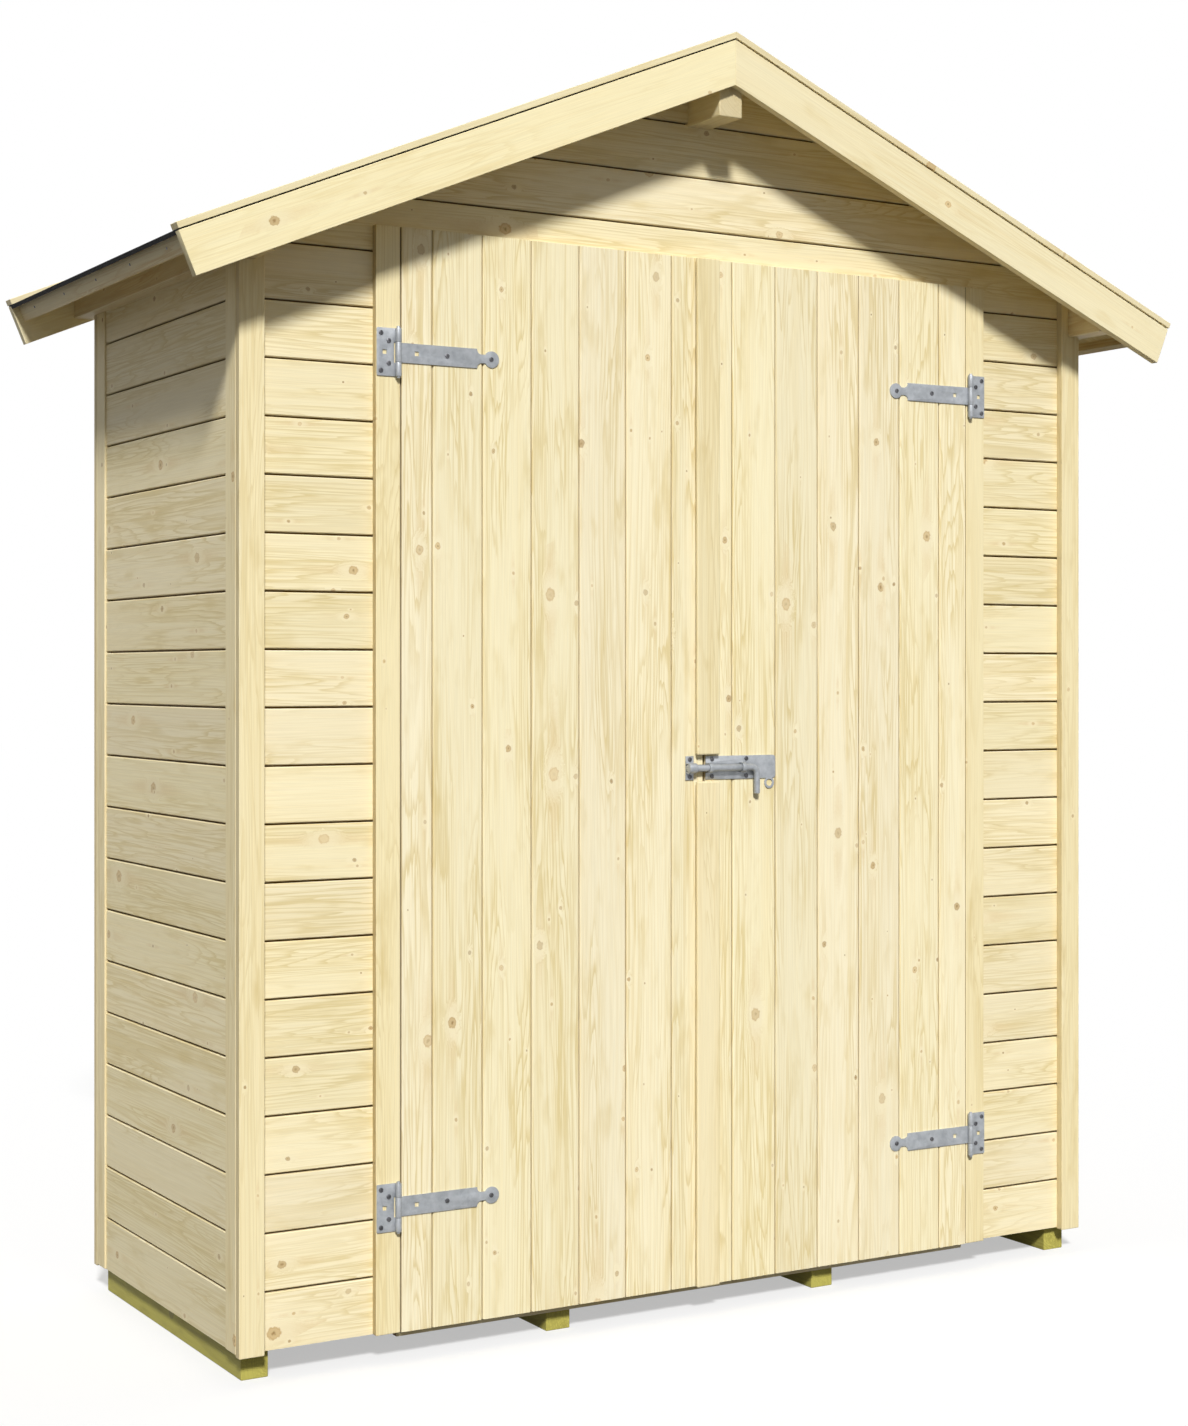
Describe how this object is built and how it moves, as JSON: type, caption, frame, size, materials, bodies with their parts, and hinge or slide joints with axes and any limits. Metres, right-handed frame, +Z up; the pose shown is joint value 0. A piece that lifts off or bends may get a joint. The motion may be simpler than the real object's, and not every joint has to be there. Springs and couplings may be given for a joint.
{
  "type": "wooden garden shed",
  "caption": "Small softwood garden shed with a gable roof, boarded double doors on strap hinges, a sliding bolt, felt roofing and timber bearers.",
  "frame": {"origin": "on the ground under the middle of the roof", "axes": "+X to the right as seen from the doors, +Y from the doors to the back wall, +Z up"},
  "size_m": [1.9664, 0.85, 2.1593],
  "materials": {
    "treated_timber": "rough sawn, olive green pressure treated softwood",
    "floor_boards": "planed softwood boards",
    "cladding": "planed unpainted spruce, horizontal tongued boards",
    "trim_boards": "planed unpainted spruce",
    "frame_timber": "planed unpainted spruce",
    "roof_boards": "planed unpainted spruce",
    "roofing_felt": "black bitumen felt with mineral grit",
    "door_boards": "planed unpainted spruce, upright tongued boards",
    "galvanised_steel": "dull zinc plate"
  },
  "bodies": {
    "shed": {"bearers": "treated_timber", "floor_deck": "floor_boards", "threshold": "cladding", "front_wall_left": "cladding", "front_wall_right": "cladding", "front_gable": "cladding", "back_wall": "cladding", "left_wall": "cladding", "right_wall": "cladding", "corner_face_boards": "trim_boards", "corner_side_boards": "trim_boards", "door_trims": "trim_boards", "corner_posts": "frame_timber", "door_posts": "frame_timber", "back_stud": "frame_timber", "bottom_rails": "frame_timber", "head_rails": "frame_timber", "side_top_rails": "frame_timber", "ridge_beam": "frame_timber", "roof_deck_left": "roof_boards", "roof_deck_right": "roof_boards", "roof_felt": "roofing_felt", "eave_board_left": "roof_boards", "eave_board_right": "roof_boards", "left_barge_boards": "roof_boards", "right_barge_boards": "roof_boards", "left_barge_caps": "roof_boards", "right_barge_caps": "roof_boards", "hinge_plates": "galvanised_steel", "hinge_pins": "galvanised_steel"},
    "left_door": {"left_door_boards": "door_boards", "left_door_ledges": "door_boards", "left_hinge_straps": "galvanised_steel", "bolt_keeper": "galvanised_steel"},
    "right_door": {"right_door_boards": "door_boards", "right_door_ledges": "door_boards", "right_hinge_straps": "galvanised_steel", "door_cover_strip": "door_boards", "bolt_plate": "galvanised_steel"},
    "bolt": {"bolt_bar": "galvanised_steel"}
  },
  "joints": [
    {"name": "left_door_hinge", "type": "hinge", "parent": "shed", "child": "left_door", "pos_m": [-0.579, -0.33, 0.92], "axis": [0, 0, -1], "range_deg": [0, 110]},
    {"name": "right_door_hinge", "type": "hinge", "parent": "shed", "child": "right_door", "pos_m": [0.579, -0.33, 0.92], "axis": [0, 0, 1], "range_deg": [0, 110]},
    {"name": "bolt_slide", "type": "slide", "parent": "right_door", "child": "bolt", "axis": [1, 0, 0], "range_m": [0, 0.042]}
  ]
}
